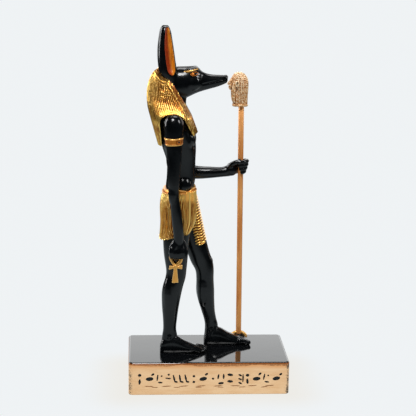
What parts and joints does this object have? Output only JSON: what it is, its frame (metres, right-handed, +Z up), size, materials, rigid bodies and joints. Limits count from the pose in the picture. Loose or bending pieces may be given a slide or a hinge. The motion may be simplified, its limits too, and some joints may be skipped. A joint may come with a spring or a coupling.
{
  "type": "anubis statue",
  "caption": "Striding jackal-headed figure in glossy black and gold on a rectangular plinth, with a tall staff in one hand and an ankh in the other.",
  "frame": {"origin": "centre of the plinth's underside", "axes": "+Z up; +X the way the figure faces and strides, along the plinth; +Y towards the figure's left side, where the staff is"},
  "size_m": [0.086, 0.048, 0.1939],
  "materials": {
    "gloss_black": "glossy black paint on cast resin",
    "gold_paint": "antique gold paint with brown in the recesses",
    "plinth_gold": "satin pale bronze-gold paint, glossy black on top",
    "copper_paint": "satin copper paint",
    "cream_gold": "pale cream-gold paint with brown in the recesses"
  },
  "bodies": {
    "root": {"plinth": "plinth_gold", "figure": "gloss_black", "staff_rod": "copper_paint", "staff_finial": "cream_gold"}
  },
  "joints": []
}
